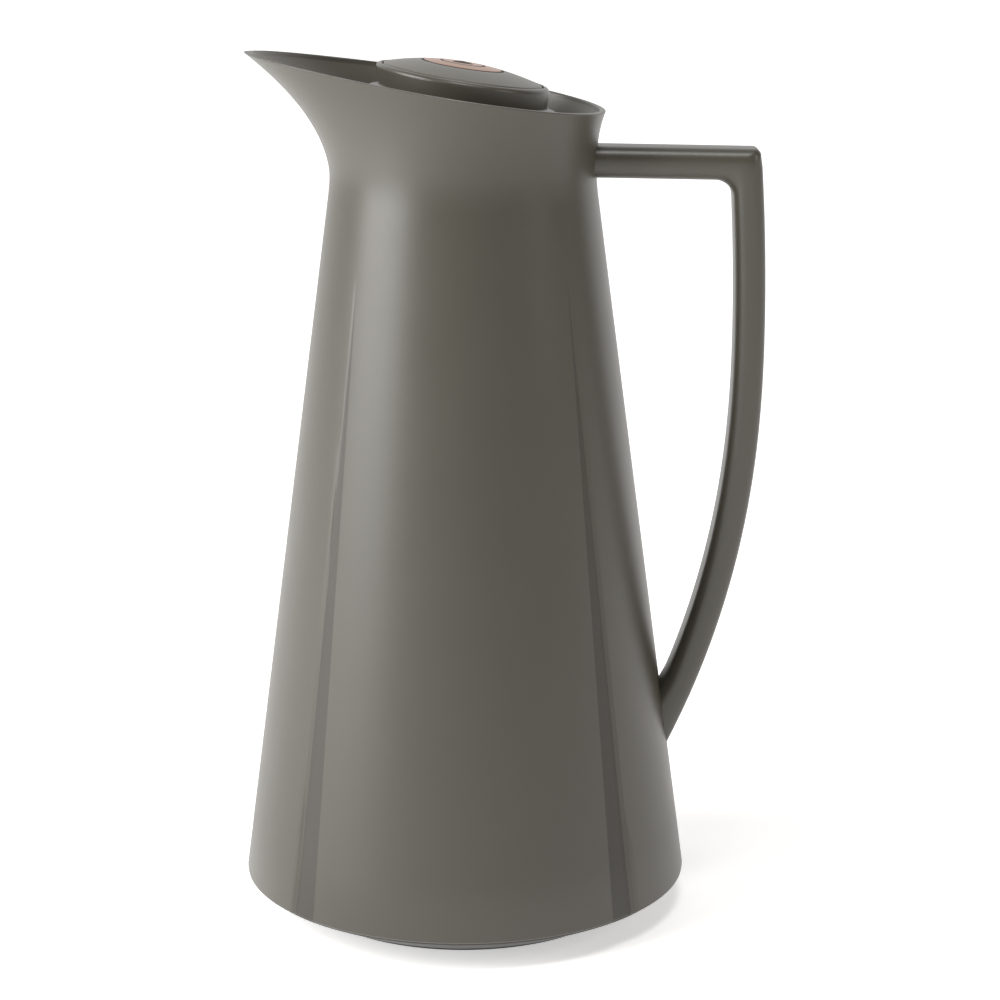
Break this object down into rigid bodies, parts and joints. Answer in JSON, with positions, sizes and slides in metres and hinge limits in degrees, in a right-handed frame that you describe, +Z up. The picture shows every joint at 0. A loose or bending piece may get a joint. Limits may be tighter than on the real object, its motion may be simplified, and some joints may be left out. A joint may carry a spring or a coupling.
{
  "type": "vacuum pouring jug",
  "caption": "Conical vacuum pouring jug with slanted spouted mouth, D handle, glass flask, screw-in base and a click stopper whose button opens a valve.",
  "frame": {"origin": "on the jug's vertical axis, at table height: centre of the foot pad's underside", "axes": "+Z up along the jug's axis, spout along -X, handle along +X"},
  "size_m": [0.1814, 0.1558, 0.3],
  "materials": {
    "shell_plastic": "satin moulded ABS, warm grey",
    "handle_plastic": "satin moulded ABS, warm grey",
    "lid_plastic": "satin moulded ABS, warm grey",
    "dark_plastic": "moulded polypropylene, dark grey",
    "white_plastic": "natural POM",
    "clear_glass": "blown borosilicate glass",
    "silvered_glass": "glass silvered on the vacuum side",
    "pad_felt": "glass-fibre felt",
    "rubber": "matt moulded rubber",
    "silicone": "translucent grey silicone",
    "copper": "fine-brushed copper",
    "steel": "stainless steel wire and bar"
  },
  "bodies": {
    "jug": {"outer_shell": "shell_plastic", "handle": "handle_plastic", "handle_screw_upper": "steel", "handle_screw_lower": "steel", "mouth_funnel": "shell_plastic", "neck_seal": "silicone", "flask_inner": "clear_glass", "flask_outer": "silvered_glass", "spacer_pad_1": "pad_felt", "spacer_pad_2": "pad_felt", "spacer_pad_3": "pad_felt", "flask_cup": "rubber", "base_cap": "dark_plastic", "foot_pad": "rubber"},
    "stopper": {"stopper_lid": "lid_plastic", "stopper_body": "dark_plastic", "lip_seal": "silicone", "plug_seal": "silicone", "stem_seal": "silicone", "return_spring": "steel"},
    "button": {"push_button": "lid_plastic", "badge": "copper", "valve_stem": "steel", "valve_disc": "white_plastic", "valve_seal": "silicone", "valve_screw": "steel"},
    "latch": {"latch_ring": "white_plastic"}
  },
  "joints": [
    {"name": "stopper_lift", "type": "slide", "parent": "jug", "child": "stopper", "axis": [0, 0, 1], "range_m": [0, 0.085]},
    {"name": "button_press", "type": "slide", "parent": "stopper", "child": "button", "axis": [0, 0, -1], "range_m": [0, 0.004], "stiffness_N_per_m": 600, "springref_m": -0.003, "deforming": ["return_spring"]},
    {"name": "latch_turn", "type": "hinge", "parent": "stopper", "child": "latch", "pos_m": [0, 0, 0.2747], "axis": [0, 0, 1], "range_deg": [0, 45]}
  ],
  "couplings": [
    {"joint": "latch_turn", "follows": "button_press", "rad_per_m": 196.3}
  ]
}
